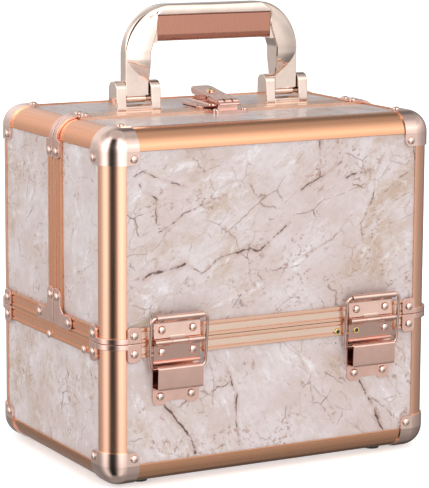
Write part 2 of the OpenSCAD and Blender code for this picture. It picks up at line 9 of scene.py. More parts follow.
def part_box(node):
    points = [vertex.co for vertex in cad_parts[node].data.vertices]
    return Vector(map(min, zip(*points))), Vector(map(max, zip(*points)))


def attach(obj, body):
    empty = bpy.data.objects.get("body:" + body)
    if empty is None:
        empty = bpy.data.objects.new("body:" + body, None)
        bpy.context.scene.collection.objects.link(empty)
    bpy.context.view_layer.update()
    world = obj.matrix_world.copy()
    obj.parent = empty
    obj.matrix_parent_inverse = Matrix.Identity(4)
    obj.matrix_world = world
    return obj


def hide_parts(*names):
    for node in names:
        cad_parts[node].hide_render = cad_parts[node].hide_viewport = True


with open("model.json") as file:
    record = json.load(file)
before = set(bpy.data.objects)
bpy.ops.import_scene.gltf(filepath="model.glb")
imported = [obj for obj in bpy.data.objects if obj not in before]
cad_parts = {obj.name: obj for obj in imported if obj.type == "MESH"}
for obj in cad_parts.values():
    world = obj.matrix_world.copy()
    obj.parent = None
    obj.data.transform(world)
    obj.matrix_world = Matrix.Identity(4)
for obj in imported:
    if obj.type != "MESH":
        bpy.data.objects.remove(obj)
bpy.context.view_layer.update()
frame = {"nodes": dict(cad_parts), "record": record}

MM = 0.001
scene = bpy.context.scene
record = frame["record"]
body_of = {node: body for body, nodes in record["behaviour"]["bodies"].items() for node in nodes}
slot_of = {row["node"]: row["material_slot"] for row in record["subparts"]}


# ---------- camera, floor and light ----------

def place_camera():
    """Long lens from the front left, a little above the horizon."""
    azimuth = math.radians(-28.85)
    elevation = math.radians(9.03)
    roll = math.radians(0.33)
    target = Vector((0.0073, 0.0, 0.2025))
    back = Vector((math.sin(azimuth) * math.cos(elevation),
                   -math.cos(azimuth) * math.cos(elevation),
                   math.sin(elevation)))
    level = Vector((0, 0, 1)).cross(back).normalized()
    upright = back.cross(level)
    right = level * math.cos(roll) + upright * math.sin(roll)
    up = upright * math.cos(roll) - level * math.sin(roll)
    camera = bpy.data.objects.new("camera", bpy.data.cameras.new("camera"))
    camera.data.lens = 171.9
    camera.data.sensor_width = 36
    camera.data.shift_x = -0.0123
    camera.data.shift_y = -0.0781
    camera.data.clip_end = 100
    camera.matrix_world = Matrix.Translation(target + back * 1.962) @ Matrix(
        (right, up, back)).transposed().to_4x4()
    scene.collection.objects.link(camera)
    scene.camera = camera


class Graph:
    """Short calls for the shader nodes of one material or world."""

    def __init__(self, tree, coordinates):
        self.tree = tree
        self.where = tree.nodes.new("ShaderNodeTexCoord").outputs[coordinates]

    def put(self, socket, value):
        if isinstance(value, bpy.types.NodeSocket):
            self.tree.links.new(value, socket)
        elif socket.type == "RGBA":
            socket.default_value = (*value, 1)
        else:
            socket.default_value = value

    def new(self, kind, values, **settings):
        """Outputs of a new node, with its inputs filled by name or number."""
        node = self.tree.nodes.new("ShaderNode" + kind)
        for name, value in settings.items():
            setattr(node, name, value)
        for name, value in values.items():
            self.put(node.inputs[name], value)
        return node.outputs

    def place(self, source=None, scale=(1, 1, 1), turn=(0, 0, 0), shift=(0, 0, 0)):
        return self.new("Mapping", {"Vector": source or self.where, "Location": shift, "Scale": scale,
                                    "Rotation": [math.radians(a) for a in turn]})[0]

    def noise(self, source, scale, detail=3.0, roughness=0.5, distortion=0.0, output=0):
        return self.new("TexNoise", {"Vector": source, "Scale": scale, "Detail": detail,
                                     "Roughness": roughness, "Distortion": distortion})[output]

    def cracks(self, source, scale):
        """Distance to the nearest edge of a cell pattern."""
        cells = self.new("TexVoronoi", {"Vector": source, "Scale": scale}, feature="DISTANCE_TO_EDGE")
        return cells["Distance"]

    def math(self, operation, a, b=0.0, clamp=False):
        return self.new("Math", {0: a, 1: b}, operation=operation, use_clamp=clamp)[0]

    def vector(self, operation, a, b=None, scale=None, output=0):
        values = {0: a, 1: b, "Scale": scale}
        given = {name: value for name, value in values.items() if value is not None}
        return self.new("VectorMath", given, operation=operation)[output]

    def ramp(self, source, low, high, out_low=0.0, out_high=1.0):
        """Smooth step from out_low at low to out_high at high."""
        return self.new("MapRange", {"Value": source, "From Min": low, "From Max": high, "To Min": out_low,
                                     "To Max": out_high}, interpolation_type="SMOOTHSTEP")[0]

    def curve(self, source, low, high, stops, top):
        """Value read off a list of (place, value) stops between low and high; top scales the ramp."""
        span = self.math("MULTIPLY", self.math("SUBTRACT", source, low), 1 / (high - low), clamp=True)
        node = self.tree.nodes.new("ShaderNodeValToRGB")
        node.color_ramp.interpolation = "B_SPLINE" if len(stops) > 12 else "EASE"
        spots = node.color_ramp.elements
        while len(spots) < len(stops):
            spots.new(0.5)
        for spot, (place, value) in zip(spots, stops):
            spot.position = (place - low) / (high - low)
            level = value / top
            spot.color = (level, level, level, 1)
        self.put(node.inputs[0], span)
        return self.math("MULTIPLY", node.outputs[0], top)

    def mix(self, factor, a, b):
        return self.new("Mix", {"Factor": factor, 6: a, 7: b}, data_type="RGBA")[2]

    def bend(self, source, amount, scale):
        """Coordinates pushed about by noise, for wandering lines."""
        push = self.vector("SUBTRACT", self.noise(source, scale, 5, output=1), (0.5, 0.5, 0.5))
        return self.vector("ADD", source, self.vector("SCALE", push, scale=amount))

    def along(self, source, start, end):
        """Distance from the straight line between two points."""
        start, end = Vector(start), Vector(end)
        reach = end - start
        offset = self.vector("SUBTRACT", source, tuple(start))
        share = self.vector("DOT_PRODUCT", offset, tuple(reach / reach.length_squared), output=1)
        foot = self.vector("SCALE", tuple(reach), scale=self.math("ADD", share, 0, clamp=True))
        return self.vector("DISTANCE", offset, foot, output=1)


class Shader(Graph):
    """A Principled material that textures itself in the frame's own coordinates."""

    def __init__(self, name, colour, metallic=0.0, roughness=0.5):
        self.material = bpy.data.materials.new(name)
        self.material.use_nodes = True
        super().__init__(self.material.node_tree, "Object")
        self.base = self.tree.nodes["Principled BSDF"]
        self.set("Base Color", colour)
        self.set("Metallic", metallic)
        self.set("Roughness", roughness)

    def set(self, name, value):
        self.put(self.base.inputs[name], value)

    def bump(self, height, strength, distance):
        values = {"Height": height, "Strength": strength, "Distance": distance}
        self.set("Normal", self.new("Bump", values)[0])


def softbox(name, place, size, power, tint=(1, 1, 1)):
    """Large area light aimed at the case. It lights boards; the metal mirrors the tent instead."""
    data = bpy.data.lights.new(name, "AREA")
    data.shape = "RECTANGLE"
    data.size, data.size_y = size
    data.energy = power
    data.color = tint
    light = bpy.data.objects.new(name, data)
    light.location = place
    light.rotation_mode = "QUATERNION"
    light.rotation_quaternion = (Vector(place) - Vector((0, 0, 0.2))).to_track_quat("Z", "Y")
    light.visible_glossy = False
    scene.collection.objects.link(light)


# brightness of the light tent round the case, by degrees from the front, positive to the left
TENT_ROUND = [(-180, 0.6), (-160, 0.5), (-138, 0.10), (-120, 0.2), (-98, 0.42), (-75, 0.45), (-55, 0.58),
              (-42, 0.75), (-28, 0.85), (-16, 1.15), (-4, 1.8), (8, 1.95), (20, 1.35), (29, 0.4), (40, 0.05),
              (58, 0.03), (67, 0.2), (76, 1.1), (88, 1.8), (100, 1.5), (113, 0.8), (130, 0.55), (155, 0.5),
              (180, 0.6)]
# and how that changes with height, as the sine of the elevation
TENT_UP = [(-1, 0.4), (-0.75, 0.5), (-0.36, 0.5), (-0.16, 1.0), (0.05, 1.25), (0.35, 1.8), (0.62, 1.35),
           (0.85, 0.9), (1, 0.7)]


def light_studio():
    softbox("top_softbox", (-0.3, -0.4, 2.3), (2.6, 2.2), 12)
    softbox("front_softbox", (-0.4, -2.5, 1.1), (2.0, 1.6), 4.2)
    softbox("left_softbox", (-2.4, 0.0, 1.0), (1.6, 1.8), 5.0, (1, 0.985, 0.97))
    softbox("back_softbox", (0.6, 2.4, 1.2), (2.2, 1.6), 8)
    softbox("right_softbox", (2.4, -0.2, 1.0), (1.6, 1.8), 7)
    world = bpy.data.worlds.new("light_tent")
    world.use_nodes = True
    scene.world = world
    g = Graph(world.node_tree, "Generated")
    direction = g.new("SeparateXYZ", {0: g.where})
    left = g.math("MULTIPLY", direction["X"], -1)
    ahead = g.math("MULTIPLY", direction["Y"], -1)
    round_about = g.curve(g.math("MULTIPLY", g.math("ARCTAN2", left, ahead), 180 / math.pi),
                          -180, 180, TENT_ROUND, 2.0)
    up = g.curve(direction["Z"], -1, 1, TENT_UP, 2.0)
    pole = g.ramp(g.math("ABSOLUTE", direction["Z"]), 0.8, 0.97)
    tent = g.math("MULTIPLY", round_about, up)
    glow = g.mix(pole, tent, g.math("MULTIPLY", up, 0.85))
    background = g.tree.nodes["Background"]
    g.put(background.inputs["Color"], glow)
    background.inputs["Strength"].default_value = 1.0
    scene.view_settings.view_transform = "Standard"


def make_floor():
    reach = 30
    mesh = bpy.data.meshes.new("floor")
    mesh.from_pydata([(-reach, -reach, 0), (reach, -reach, 0), (reach, reach, 0), (-reach, reach, 0)],
                     [], [(0, 1, 2, 3)])
    s = Shader("pale_floor", (0.9, 0.9, 0.9), 0, 0.9)
    s.set("Base Color", s.mix(s.noise(s.where, 3, 2), (0.92, 0.92, 0.92), (0.90, 0.90, 0.90)))
    s.set("Emission Color", (1, 1, 1))
    s.set("Emission Strength", 0.42)
    mesh.materials.append(s.material)
    floor = bpy.data.objects.new("floor", mesh)
    floor.visible_glossy = False
    scene.collection.objects.link(floor)


# ---------- materials ----------

# the bold cracks lie in the plane of the front boards: strength, then points (x, z) in millimetres
FRONT = -103.8
VEIN_WIDTH = 1.4  # half width of a crack of strength 1, in millimetres
UPPER_VEINS = [
    (1, (-117, 168), (-111, 173), (-97, 174), (-81, 177)),
    (0.38, (-81, 177), (-67, 169), (-48, 180), (-34, 182)),
    (0.9, (-34, 182), (-22, 185), (-16, 182), (-6, 188)),
    (0.43, (-6, 188), (5, 196), (14, 203)),
    (0.4, (-127, 249), (-119, 253), (-108, 247), (-80, 238)),
    (0.45, (-122, 242), (-120, 237), (-107, 232), (-106, 212)),
    (0.33, (-104, 204), (-82, 218), (-44, 230)),
    (0.7, (67, 236), (77, 240), (96, 239), (101, 252)),
    (0.33, (96, 239), (93, 218), (82, 198), (83, 183)),
    (0.45, (24, 230), (42, 238), (62, 251)),
    (0.55, (41, 269), (42, 252), (41, 238)),
    (0.29, (4, 166), (55, 186), (73, 205))]
LOWER_VEINS = [
    (0.9, (-99, 66), (-92, 57), (-84, 46), (-76, 34), (-72, 22)),
    (0.53, (-43, 90), (-38, 77), (-34, 66), (-34, 45), (-31, 26)),
    (0.9, (82, 65), (92, 49), (99, 37), (107, 21)),
    (0.29, (20, 100), (32, 78), (38, 52))]


def marble(name, lean, veins, seed):
    """Printed marble sheet; lean turns its grain, in degrees, and veins are its bold cracks."""
    s = Shader(name, (0.70, 0.60, 0.57), 0, 0.32)
    flat = s.place(turn=lean, shift=(seed, seed, 0))
    grain = s.place(flat, scale=(0.7, 1.0, 1.0))
    pale, pink = (0.545, 0.483, 0.487), (0.49, 0.398, 0.382)
    beige, white = (0.40, 0.28, 0.195), (0.675, 0.66, 0.685)
    brown, rust, ink = (0.42, 0.34, 0.30), (0.33, 0.19, 0.14), (0.07, 0.03, 0.02)
    colour = s.mix(s.ramp(s.noise(flat, 17, 6, 0.62), 0.40, 0.60), pale, pink)
    cloud = s.ramp(s.noise(s.bend(grain, 0.03, 16), 30, 9, 0.78, 0.2), 0.47, 0.62)
    patch = s.ramp(s.noise(flat, 8, 3, 0.5), 0.42, 0.60)
    colour = s.mix(s.math("MULTIPLY", s.math("MULTIPLY", cloud, patch), 0.8), colour, beige)
    wisp = s.ramp(s.noise(s.place(grain, scale=(0.8, 1.3, 1.3)), 40, 9, 0.78, 0.6), 0.53, 0.66, 0, 0.7)
    colour = s.mix(wisp, colour, white)
    mottle = s.ramp(s.noise(grain, 150, 6, 0.85), 0.47, 0.59, 0, 0.42)
    colour = s.mix(mottle, colour, brown)
    dots = s.math("MULTIPLY", s.ramp(s.noise(grain, 300, 3, 0.7), 0.55, 0.63, 0, 0.75),
                  s.ramp(s.noise(flat, 30, 3, 0.6), 0.50, 0.60))
    colour = s.mix(dots, colour, (0.30, 0.17, 0.12))
    for scale, width, dark, cover, amount in ((17, 0.010, (0.15, 0.075, 0.05), 0.54, 0.9),
                                              (31, 0.017, (0.23, 0.14, 0.10), 0.53, 0.8),
                                              (58, 0.028, (0.30, 0.21, 0.16), 0.53, 0.6)):
        path = s.bend(s.bend(s.place(grain, shift=(scale, 0, 0)), 0.03, 13), 0.005, 110)
        line = s.ramp(s.cracks(path, scale), 0.0, width, amount, 0.0)
        broken = s.ramp(s.noise(s.place(flat, shift=(0, scale, 3)), 24, 6, 0.75), cover - 0.02, cover + 0.05)
        colour = s.mix(s.math("MULTIPLY", line, broken), colour, dark)
    if veins:
        wander = s.bend(s.bend(s.where, 0.006, 42), 0.003, 190)
        near = None
        for strength, *spots in veins:
            points = [Vector((x, FRONT, z)) * MM for x, z in spots]
            for start, end in zip(points, points[1:]):
                reach = s.math("DIVIDE", s.along(wander, start, end), strength * VEIN_WIDTH * MM)
                near = reach if near is None else s.math("MINIMUM", near, reach)
        near = s.math("DIVIDE", near, s.ramp(s.noise(s.where, 110, 5, 0.75), 0.36, 0.64, 0.55, 1.3))
        colour = s.mix(s.ramp(near, 0.8, 4.5, 0.35, 0.0), colour, rust)
        colour = s.mix(s.ramp(near, 0.35, 1.05, 0.95, 0.0), colour, ink)
    s.set("Base Color", colour)
    s.set("Roughness", s.ramp(s.noise(flat, 45, 3), 0.3, 0.7, 0.30, 0.42))
    s.set("Coat Weight", 0.2)
    s.set("Coat Roughness", 0.2)
    s.bump(s.noise(flat, 420, 2), 0.05, 0.0002)
    return s.material


def drawn(name, colour, roughness, along, depth=0.035, contrast=0.05):
    """Metal with fine drawn lines along one axis: 0 for X, 1 for Y, 2 for Z."""
    s = Shader(name, colour, 1.0, roughness)
    stretch = [1100.0, 1100.0, 1100.0]
    stretch[along] = 9.0
    lines = s.noise(s.place(scale=stretch), 1.0, 3, 0.6)
    blotch = s.noise(s.where, 38, 3)
    dark = tuple(c * (1 - contrast) for c in colour)
    s.set("Base Color", s.mix(s.math("MULTIPLY", lines, s.ramp(blotch, 0.2, 0.8, 0.6, 1.3)), colour, dark))
    s.set("Roughness", s.ramp(lines, 0.3, 0.7, roughness * 0.8, roughness * 1.25))
    s.set("Coat Weight", 0.2)
    s.set("Coat Roughness", 0.12)
    s.bump(lines, depth, 0.00006)
    return s.material


def plated(name, colour, roughness):
    """Polished plating with faint smears and fine scratches."""
    s = Shader(name, colour, 1.0, roughness)
    smear = s.noise(s.where, 60, 4, 0.6)
    scratch = s.noise(s.place(scale=(260, 90, 1500)), 1.0, 2)
    s.set("Base Color", s.mix(s.ramp(smear, 0.35, 0.7), colour, tuple(c * 0.90 for c in colour)))
    s.set("Roughness", s.math("ADD", s.ramp(smear, 0.3, 0.7, roughness * 0.75, roughness * 1.25),
                              s.ramp(scratch, 0.62, 0.75, 0, 0.06)))
    s.bump(s.noise(s.where, 75, 3), 0.05, 0.0003)
    return s.material


# black rubber of the feet; the same dark material is also painted shade in the gap round the handle grip, in
# the eyelet bores and in the key slot
def rubber():
    s = Shader("black_rubber", (0.02, 0.02, 0.02), 0, 0.7)
    grain = s.noise(s.where, 900, 3)
    s.set("Base Color", s.mix(grain, (0.012, 0.012, 0.012), (0.035, 0.033, 0.032)))
    s.bump(grain, 0.3, 0.0003)
    return s.material


def pile():
    """Short dark pile of the lining."""
    s = Shader("dark_pile", (0.05, 0.04, 0.045), 0, 0.95)
    nap = s.noise(s.where, 1300, 3, 0.7)
    drift = s.noise(s.where, 28, 4, 0.6)
    s.set("Base Color", s.mix(s.math("MULTIPLY", nap, s.ramp(drift, 0.3, 0.7, 0.6, 1.4)),
                              (0.020, 0.016, 0.018), (0.085, 0.068, 0.075)))
    s.set("Sheen Weight", 0.5)
    s.set("Sheen Roughness", 0.4)
    s.bump(nap, 0.6, 0.0006)
    return s.material


def moulded():
    """Black tray plastic with a fine spark-eroded grain."""
    s = Shader("tray_plastic", (0.03, 0.03, 0.032), 0, 0.42)
    wear = s.noise(s.where, 22, 4)
    s.set("Base Color", s.mix(wear, (0.022, 0.021, 0.023), (0.045, 0.043, 0.045)))
    s.set("Roughness", s.ramp(wear, 0.3, 0.7, 0.36, 0.5))
    s.bump(s.noise(s.where, 1600, 2, 0.6), 0.35, 0.0002)
    return s.material


ROSE = (0.93, 0.60, 0.50)
# the side copper is the edge-extrusion copper darkened as painted shade, for the extrusions that run front to
# back along the sides
COPPER, SHADED_SIDE_COPPER, POST = (0.95, 0.48, 0.28), (0.88, 0.415, 0.235), (0.95, 0.53, 0.365)
RAIL, CHANNEL, SIDE_CHANNEL = (0.94, 0.60, 0.44), (0.93, 0.70, 0.56), (0.95, 0.47, 0.28)
looks = {
    "upper_marble": marble("upper_marble", (0, 30, 8), UPPER_VEINS, 3.1),
    "lower_marble": marble("lower_marble", (0, -55, 6), LOWER_VEINS, 7.4),
    "plain_marble": marble("plain_marble", (0, 35, 30), [], 5.2),
    "rose": plated("rose_plate", ROSE, 0.16),
    "rose_polished": plated("rose_polish", (0.93, 0.64, 0.54), 0.06),
    "cap": plated("cap_plate", (0.94, 0.68, 0.59), 0.035),
    "rivet": plated("rivet_plate", (0.96, 0.72, 0.62), 0.22),
    "latch": plated("latch_plate", (0.92, 0.60, 0.51), 0.09),
    "wire": plated("rose_wire", (0.88, 0.62, 0.53), 0.08),
    "champagne": plated("champagne_plate", (0.95, 0.77, 0.67), 0.06),
    "grip": drawn("grip_metal", (0.58, 0.27, 0.19), 0.27, 2, 0.05, 0.06),
    "brass": plated("polished_brass", (0.92, 0.72, 0.30), 0.14),
    "rubber": rubber(),
    "pile": pile(),
    "plastic": moulded(),
    "strip": drawn("plated_strip", ROSE, 0.24, 2),
}
# edge extrusions, seam rails and the channel in those rails: colour and roughness along X, Y and Z; the edge
# extrusions along Y take the copper darkened as painted shade
for family, colours, finishes in (("copper", (COPPER, SHADED_SIDE_COPPER, POST), (0.24, 0.24, 0.20)),
                                  ("rail", (RAIL, COPPER, COPPER), (0.22, 0.22, 0.22)),
                                  ("channel", (CHANNEL, SIDE_CHANNEL, SIDE_CHANNEL), (0.3, 0.3, 0.3))):
    for along, axis in enumerate("xyz"):
        look = drawn(family + "_along_" + axis, colours[along], finishes[along], along)
        looks[family + "_" + axis] = look
look_of_slot = {"marble_board": "plain_marble", "copper_extrusion": "copper_x", "rose_steel": "rose",
                "rose_rivet": "rose_polished", "rose_wire": "wire", "handle_metal": "champagne",
                "grip_metal": "grip", "brass": "brass", "foot_rubber": "rubber", "lining": "pile",
                "tray_plastic": "plastic", "link_steel": "strip"}


# ---------- mesh helpers, in millimetres ----------

def arc(centre, radius, start, end, steps=8):
    """Points on a circle from start to end, in degrees."""
    return [(centre[0] + radius * math.cos(math.radians(start + (end - start) * i / steps)),
             centre[1] + radius * math.sin(math.radians(start + (end - start) * i / steps)))
            for i in range(steps + 1)]


def rounded(corners, radii, steps=5):
    """Outline with each corner rounded to its own radius."""
    outline = []
    for i, corner in enumerate(corners):
        here = Vector(corner)
        before = (Vector(corners[i - 1]) - here).normalized()
        after = (Vector(corners[(i + 1) % len(corners)]) - here).normalized()
        if radii[i] <= 0:
            outline.append(corner)
            continue
        angle = before.angle(after)
        reach = radii[i] / math.tan(angle / 2)
        centre = here + (before + after).normalized() * (radii[i] / math.sin(angle / 2))
        start, end = here + before * reach - centre, here + after * reach - centre
        turn = start.angle_signed(end)
        for step in range(steps + 1):
            spin = Matrix.Rotation(-turn * step / steps, 2)
            outline.append(tuple(centre + spin @ start))
    return outline


def sheet_outline(path, thickness):
    """Closed outline of a bent sheet whose middle line is path."""
    points = [Vector(p) for p in path]
    sides = ([], [])
    for i, point in enumerate(points):
        before = (point - points[i - 1]).normalized() if i else None
        after = (points[i + 1] - point).normalized() if i + 1 < len(points) else None
        heading = ((before or after) + (after or before)).normalized()
        normal = Vector((-heading.y, heading.x))
        stretch = 1 / max(0.5, heading.dot(before or after))
        for side, sign in zip(sides, (1, -1)):
            side.append(tuple(point + normal * sign * stretch * thickness / 2))
    return sides[0] + sides[1][::-1]


class Shape:
    """Closed shells collected in millimetres, then mirrored and turned into one mesh."""

    def __init__(self):
        self.points = []
        self.faces = []
        self.creases = []

    def shell(self, points, faces):
        base = len(self.points)
        self.points += [Vector(p) for p in points]
        self.faces += [[base + i for i in face] for face in faces]
        return self

    def loft(self, rings, capped=True):
        """Skin over rings that all have the same number of points."""
        count = len(rings[0])
        faces = [[r * count + i, r * count + (i + 1) % count, (r + 1) * count + (i + 1) % count,
                  (r + 1) * count + i] for r in range(len(rings) - 1) for i in range(count)]
        if capped:
            faces += [list(range(count)), [(len(rings) - 1) * count + i for i in range(count)]]
        return self.shell([p for ring in rings for p in ring], faces)

    def prism(self, outline, axis, start, end):
        """Outline pushed along an axis; its two coordinates are the other axes in order."""
        def lift(p, at):
            values = list(p)
            values.insert(axis, at)
            return tuple(values)
        return self.loft([[lift(p, start) for p in outline], [lift(p, end) for p in outline]])

    def add(self, other, shift=(0, 0, 0), flip=(1, 1, 1)):
        move = Vector(shift)
        base = len(self.points)
        self.creases += [(base + a, base + b) for a, b in other.creases]
        points = [Vector(f * c for f, c in zip(flip, p)) + move for p in other.points]
        return self.shell(points, other.faces)

    def mirrored(self, axis):
        """This shape together with its mirror image across the plane through the origin."""
        return Shape().add(self).add(self.flipped(axis))

    def flipped(self, axis):
        """Only the mirror image."""
        flip = [1, 1, 1]
        flip[axis] = -1
        return Shape().add(self, flip=flip)


def dress(piece, node, bevel, segments, angle):
    """Rounds the edges of a piece and hands it over as the visible form of a CAD node."""
    scene.collection.objects.link(piece)
    if bevel:
        edges = piece.modifiers.new("edges", "BEVEL")
        edges.width = bevel * MM
        edges.segments = segments
        edges.limit_method = "ANGLE"
        edges.angle_limit = math.radians(angle)
        edges.harden_normals = True
    flat = piece.modifiers.new("flat_faces", "WEIGHTED_NORMAL")
    flat.keep_sharp = True
    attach(piece, body_of[node])
    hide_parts(node)


def smooth_mesh(name, work, look, angle):
    """Mesh with soft normals below the angle and sharp edges above it."""
    bmesh.ops.remove_doubles(work, verts=work.verts, dist=1e-6)
    bmesh.ops.recalc_face_normals(work, faces=work.faces)
    for edge in work.edges:
        soft = edge.is_manifold and edge.calc_face_angle(0) < math.radians(angle)
        edge.smooth = soft and not edge.seam
    for face in work.faces:
        face.smooth = True
        face.material_index = 0
    mesh = bpy.data.meshes.new(name)
    work.to_mesh(mesh)
    work.free()
    mesh.materials.append(looks[look])
    return mesh


def build(node, shape, bevel=0.3, look=None, segments=2, angle=32):
    """One piece from a Shape, in place of a CAD node."""
    work = bmesh.new()
    corners = [work.verts.new(point * MM) for point in shape.points]
    for face in shape.faces:
        work.faces.new([corners[i] for i in face])
    for pair in shape.creases:
        work.edges.get([corners[i] for i in pair]).seam = True
    mesh = smooth_mesh(node + "_form", work, look or look_of_slot[slot_of[node]], angle)
    dress(bpy.data.objects.new(node + "_form", mesh), node, bevel, segments, angle)


def refined(node, bevel, look=None, segments=2, angle=32, side_look=None):
    """A copy of a CAD node with its sharp edges rounded, shown in its place; side_look is for the pieces
    that run front to back along the two sides."""
    work = bmesh.new()
    work.from_mesh(frame["nodes"][node].data)
    bmesh.ops.remove_doubles(work, verts=work.verts, dist=1e-6)
    bmesh.ops.dissolve_limit(work, angle_limit=math.radians(0.8), verts=work.verts, edges=work.edges)
    mesh = smooth_mesh(node + "_form", work, look or look_of_slot[slot_of[node]], angle)
    if side_look:
        mesh.materials.append(looks[side_look])
        for face in mesh.polygons:
            face.material_index = int(abs(face.center.x) > (IX - 4) * MM)
    dress(bpy.data.objects.new(node + "_form", mesh), node, bevel, segments, angle)


def box_mm(node):
    low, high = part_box(node)
    return [c / MM for c in low], [c / MM for c in high]


# ---------- sizes read from the frame ----------

joint = {row["name"]: row for row in record["behaviour"]["joints"]}
Z_SEAM = joint["rear_lid_hinge"]["pos_m"][2] / MM
Y_PIN = joint["rear_lid_hinge"]["pos_m"][1] / MM
Y_STAY = joint["rear_stay_right_hinge"]["pos_m"][1] / MM
Z_STAY = joint["rear_stay_right_hinge"]["pos_m"][2] / MM
IX, IY = box_mm("base_bottom_panel")[1][:2]  # inner edge of the corner posts
rail_low, rail_high = box_mm("front_seam_rails")
X_RAIL, Y_RAIL = rail_high[0], -rail_low[1]
PROUD = 1  # how far the seam rails stand out from the edge extrusions
Z_TOP = rail_high[2] - PROUD
LEG = X_RAIL - PROUD - IX  # radius of the rounded edges, round centre lines at IX and IY
Y_BOARD = box_mm("base_panels")[1][1]
SHEET = 1.1  # thickness of the hinge leaves
STAMPED = 1.3  # thickness of the brackets and caps


def split(half):
    """Where a lid half starts, measured along its own outward direction."""
    low, high = box_mm(half + "_angle_brackets")
    return -high[1] if half == "front" else low[1]


# ---------- lid hinges ----------

stay_low, stay_high = box_mm("rear_stay_right")
HINGE_X = (stay_low[0] + stay_high[0]) / 2  # the hinges stand this far from the middle of the case
LEAF = box_mm("rear_hinge_leaves")[1][0] - HINGE_X
KNUCKLE = 6.9  # half length of the upper leaf's knuckle
ROLL = 1.75  # radius at which the sheet wraps the pin


def knuckle_path(side):
    """Middle line of the sheet where it leaves the leaf and wraps the pin; side 1 comes from above."""
    path = [(Y_RAIL + 1.1, side * 4.4), (Y_RAIL + 1.5, side * 2.9), (Y_PIN - ROLL - 0.15, side * 1.3)]
    path += [(y, -side * z) for y, z in arc((Y_PIN, 0), ROLL, 180, -95, 16)]
    return [(y, Z_SEAM + z) for y, z in path]


def upper_leaf():
    """Leaf above the seam: leans back, with its top edge rolled round the stay wire."""
    leaf = [(Y_RAIL + 1.15, Z_SEAM + 2.2), (Y_RAIL + 0.35, Z_STAY - 5.4), (Y_RAIL + 0.9, Z_STAY - 3.9),
            (Y_STAY - 2.6, Z_STAY - 2.0)]
    leaf += arc((Y_STAY, Z_STAY), 2.3, 180, -95, 16)
    shape = Shape().prism(sheet_outline(leaf, SHEET), 0, -LEAF, LEAF)
    return shape.prism(sheet_outline(knuckle_path(1), SHEET), 0, -KNUCKLE, KNUCKLE)


def lower_leaf():
    """Leaf below the seam: leans forward, with a lip along its lower edge."""
    leaf = [(Y_RAIL + 1.3, Z_SEAM - 2.2), (Y_RAIL + 0.1, Z_SEAM - 16.0)]
    leaf += arc((Y_RAIL + 1.7, Z_SEAM - 16.3), 1.6, 190, 350, 12)
    shape = Shape().prism(sheet_outline(leaf, SHEET), 0, -LEAF, LEAF)
    roll = sheet_outline(knuckle_path(-1), SHEET)
    shape.prism(roll, 0, KNUCKLE + 0.2, LEAF)
    return shape.prism(roll, 0, -LEAF, -KNUCKLE - 0.2)


def stay_pocket():
    """Flange riveted to the board, with a raised plate that the stay's lower bar sits behind."""
    foot, shelf, lip, back = Z_SEAM - 52, Z_SEAM - 38.2, Z_SEAM - 19.9, Z_SEAM - 13
    plate = Y_STAY + 2.0
    half, wide = 19.9, 20.6
    corners = [(-wide, back), (-wide, foot), (-10.6, foot), (-8.4, foot + 2.8),
               (8.4, foot + 2.8), (10.6, foot), (wide, foot), (wide, back)]
    flange = rounded(corners, [0, 4.8, 2.2, 1.6, 1.6, 2.2, 4.8, 0])
    shape = Shape().prism(flange, 1, Y_BOARD, Y_BOARD + 1.2)
    path = [(Y_BOARD + 0.6, shelf - 1.4)] + arc((Y_BOARD + 1.9, shelf - 1.3), 1.3, 180, 90, 4)
    path += arc((plate - 1.6, shelf + 1.6), 1.6, -90, 0, 5)
    path += arc((plate - 1.2, lip - 1.7), 1.7, 0, 110, 7)
    return shape.prism(sheet_outline(path, 1.2), 0, -half, half)


def on_hinges(one, sides):
    """A part drawn at x = 0 on the rear, placed at both hinges of the rear (1) and front (-1)."""
    shape = Shape()
    for x in (-HINGE_X, HINGE_X):
        for side in sides:
            shape.add(one, shift=(x, 0, 0), flip=(1, side, 1))
    return shape


def make_hinges():
    build("front_hinge_leaves", on_hinges(upper_leaf(), [-1]), 0.2, "rose_polished")
    build("rear_hinge_leaves", on_hinges(upper_leaf(), [1]), 0.2, "rose_polished")
    build("hinge_base_leaves", on_hinges(lower_leaf(), [-1, 1]), 0.2)
    build("stay_pockets", on_hinges(stay_pocket(), [-1, 1]), 0.25)


# ---------- ribbed seam rails ----------

RAIL_GAP = 0.15
RAIL_SPAN = 12
RAIL_HEIGHT = RAIL_SPAN - RAIL_GAP
RAIL_DEPTH = 7.5
RIB, GROOVE = 2.5, 3.3  # heights at which the lip and the groove beside it end
# section as (depth, height): a lip along both edges, a groove beside it and a channel between
rail_half = [(-RAIL_DEPTH, 0), (0, 0), (0, RIB), (-0.9, RIB), (-0.9, GROOVE), (-0.35, GROOVE)]
RAIL_SECTION = rail_half + [(depth, RAIL_HEIGHT - height) for depth, height in rail_half[::-1]]
# and the strip that lines the channel
strip_low, strip_high = GROOVE + RAIL_GAP, RAIL_HEIGHT - GROOVE - RAIL_GAP
STRIP_SECTION = [(-0.8, strip_low), (-0.2, strip_low), (-0.2, strip_high), (-0.8, strip_high)]


def rim_runs(section, foot, start):
    """Rails round the rear half of a rim at height foot, from start on, by the axis they run along."""
    along_x = Shape().prism([(Y_RAIL + depth, foot + height) for depth, height in section], 0, -IX, IX)
    side = Shape().prism([(X_RAIL + depth, foot + height) for depth, height in section], 1, start, IY)
    return {"x": along_x, "y": side.mirrored(0)}


def lid_runs(section, start):
    """Rails of a lid half, drawn as the rear one: rim, uprights beside the split, and the top rail."""
    runs = rim_runs(section, Z_SEAM + RAIL_GAP, start)
    runs["x"].prism([(start + height, Z_TOP + PROUD + depth) for depth, height in section], 0, -IX, IX)
    upright = Shape().prism([(X_RAIL + depth, start + height) for depth, height in section], 2,
                            Z_SEAM + RAIL_SPAN, Z_TOP - LEG)
    runs["z"] = upright.mirrored(0)
    return runs


